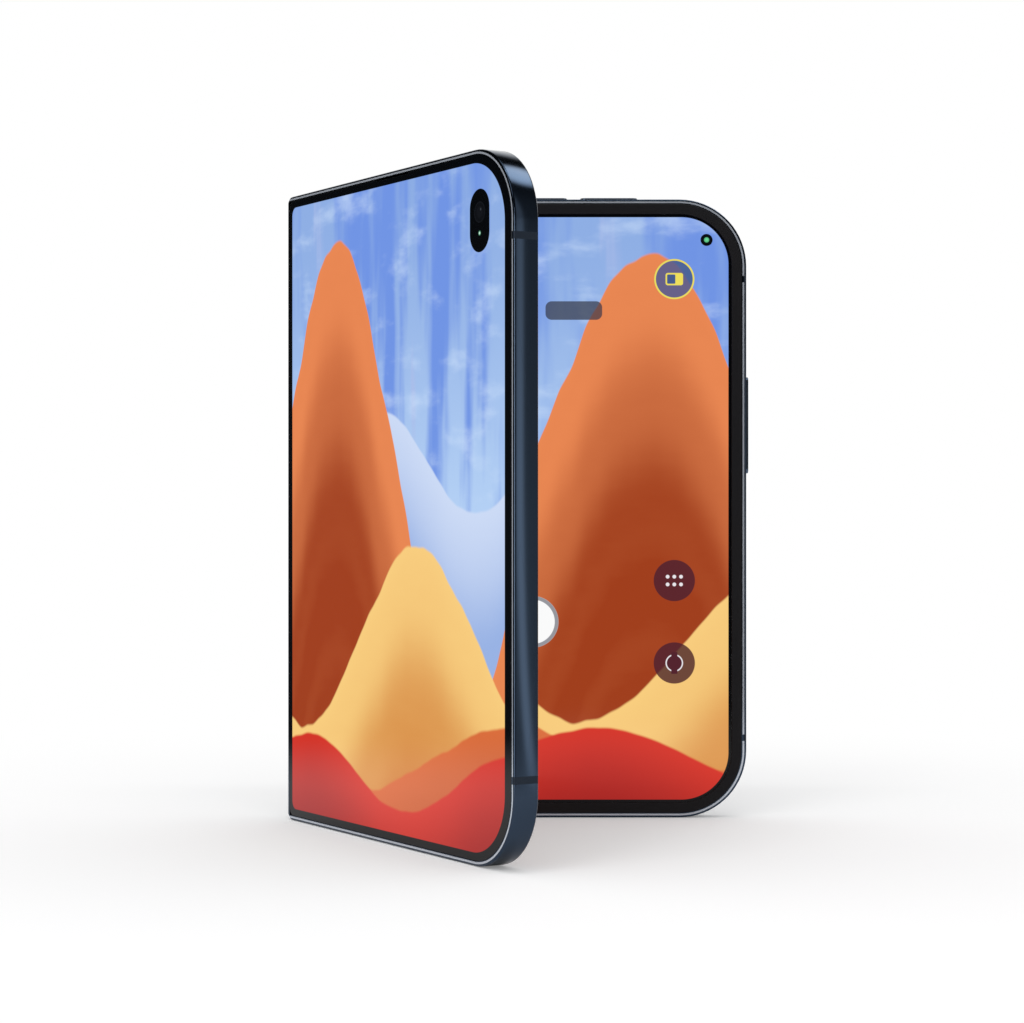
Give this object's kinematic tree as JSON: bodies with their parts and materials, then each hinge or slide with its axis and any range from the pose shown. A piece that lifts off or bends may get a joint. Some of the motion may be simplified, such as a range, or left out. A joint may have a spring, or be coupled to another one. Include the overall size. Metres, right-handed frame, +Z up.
{
  "type": "folding smartphone",
  "caption": "Book-style folding smartphone, partly open, with a bending inner screen, a cover screen, a geared hinge, side keys, rear cameras, a card tray and its inner parts.",
  "frame": {"origin": "middle of the bounding box seen from above, at the height of the lower edges the phone stands on", "axes": "+Z up along the fold; +X along the rear half from the fold to its outer side; +Y away from the inner screen, out of the rear half's back, so that the inner screen of the rear half faces -Y and the front half leans out towards -Y"},
  "size_m": [0.0892, 0.0811, 0.1204],
  "materials": {
    "frame_metal": "polished, dark blue coating",
    "band_polymer": "satin, dark blue-grey",
    "soft_rim": "satin, dark grey",
    "back_glass": "etched, dark blue",
    "cover_glass": "polished, black border",
    "screen": "polished, lit",
    "plate_steel": "satin",
    "hinge_steel": "satin",
    "bright_steel": "ground",
    "gear_brass": "machined",
    "fixing_steel": "zinc plated",
    "shield_metal": "tinned",
    "camera_black": "glossy black",
    "lens_ring": "polished, dark blue",
    "lens_glass": "coated",
    "flash_window": "frosted",
    "battery_foil": "matt foil",
    "circuit_board": "solder mask",
    "black_plastic": "matt",
    "coil_copper": "lacquered copper",
    "magnet_nickel": "nickel plated"
  },
  "bodies": {
    "rear_half": {"rear_frame": "frame_metal", "rear_rim": "soft_rim", "rear_antenna_bands": "band_polymer", "rear_back_glass": "back_glass", "rear_midplate": "plate_steel", "inner_display_rear": "screen", "inner_camera": "camera_black", "rear_battery": "battery_foil", "main_board": "circuit_board", "board_shields": "shield_metal", "board_screws": "fixing_steel", "port_board": "circuit_board", "charging_socket": "shield_metal", "card_reader": "shield_metal", "bottom_speaker": "black_plastic", "top_speaker": "black_plastic", "vibration_motor": "shield_metal", "charging_coil": "coil_copper", "rear_magnets": "magnet_nickel", "key_switches": "black_plastic", "camera_island": "frame_metal", "lens_rings": "lens_ring", "lens_glasses": "lens_glass", "rear_cameras": "camera_black", "flash_window": "flash_window", "rear_hinge_brackets": "hinge_steel", "rear_hinge_screws": "bright_steel", "rear_hinge_shaft": "bright_steel"},
    "spine": {"spine_cover": "frame_metal", "hinge_base": "hinge_steel", "friction_clips": "bright_steel", "idler_axles": "bright_steel", "inner_display_fold": "screen"},
    "front_half": {"front_frame": "frame_metal", "front_rim": "soft_rim", "front_antenna_bands": "band_polymer", "cover_glass": "cover_glass", "cover_display": "screen", "front_midplate": "plate_steel", "inner_display_front": "screen", "cover_camera": "camera_black", "earpiece": "black_plastic", "front_battery": "battery_foil", "front_board": "circuit_board", "front_board_fixings": "fixing_steel", "front_magnets": "magnet_nickel", "front_hinge_brackets": "hinge_steel", "front_hinge_screws": "bright_steel", "front_hinge_shaft": "bright_steel"},
    "rear_idlers": {"rear_idler_gears": "gear_brass"},
    "front_idlers": {"front_idler_gears": "gear_brass"},
    "rear_wing": {"rear_wing_plate": "plate_steel"},
    "front_wing": {"front_wing_plate": "plate_steel"},
    "power_key": {"power_key": "frame_metal"},
    "volume_up_key": {"volume_up_key": "frame_metal"},
    "volume_down_key": {"volume_down_key": "frame_metal"},
    "card_tray": {"card_tray": "frame_metal"}
  },
  "joints": [
    {"name": "rear_fold", "type": "hinge", "parent": "rear_half", "child": "spine", "pos_m": [-0.03969, 0.03529, 0.06], "axis": [0, 0, 1], "range_deg": [-60.5, 29.5], "deforming": ["inner_display_fold"]},
    {"name": "front_fold", "type": "hinge", "parent": "spine", "child": "front_half", "pos_m": [-0.04082, 0.03329, 0.06], "axis": [0, 0, 1], "range_deg": [-60.5, 29.5]},
    {"name": "rear_idler_turn", "type": "hinge", "parent": "spine", "child": "rear_idlers", "pos_m": [-0.0411, 0.03559, 0.06], "axis": [0, 0, 1], "range_deg": [-61, 30]},
    {"name": "front_idler_turn", "type": "hinge", "parent": "spine", "child": "front_idlers", "pos_m": [-0.04181, 0.03434, 0.06], "axis": [0, 0, 1], "range_deg": [-30, 61]},
    {"name": "rear_wing_tilt", "type": "hinge", "parent": "rear_half", "child": "rear_wing", "pos_m": [-0.03134, 0.03506, 0.06], "axis": [0, 0, 1], "range_deg": [-4.95, 10.1]},
    {"name": "front_wing_tilt", "type": "hinge", "parent": "front_half", "child": "front_wing", "pos_m": [-0.03632, 0.02625, 0.06], "axis": [0, 0, 1], "range_deg": [-10.1, 4.95]},
    {"name": "power_press", "type": "slide", "parent": "rear_half", "child": "power_key", "axis": [-1, 0, 0], "range_m": [0, 0.00025], "stiffness_N_per_m": 4000, "springref_m": -0.0002},
    {"name": "volume_up_press", "type": "slide", "parent": "rear_half", "child": "volume_up_key", "axis": [0, 0, -1], "range_m": [0, 0.00025], "stiffness_N_per_m": 4000, "springref_m": -0.0002},
    {"name": "volume_down_press", "type": "slide", "parent": "rear_half", "child": "volume_down_key", "axis": [0, 0, -1], "range_m": [0, 0.00025], "stiffness_N_per_m": 4000, "springref_m": -0.0002},
    {"name": "tray_slide", "type": "slide", "parent": "rear_half", "child": "card_tray", "axis": [0, 0, -1], "range_m": [0, 0.0115]}
  ],
  "couplings": [
    {"joint": "front_fold", "follows": "rear_fold", "ratio": 1},
    {"joint": "rear_idler_turn", "follows": "rear_fold", "ratio": 1},
    {"joint": "front_idler_turn", "follows": "rear_fold", "ratio": -1},
    {"joint": "rear_wing_tilt", "follows": "rear_fold", "ratio": -0.16667},
    {"joint": "front_wing_tilt", "follows": "rear_fold", "ratio": 0.16667}
  ]
}
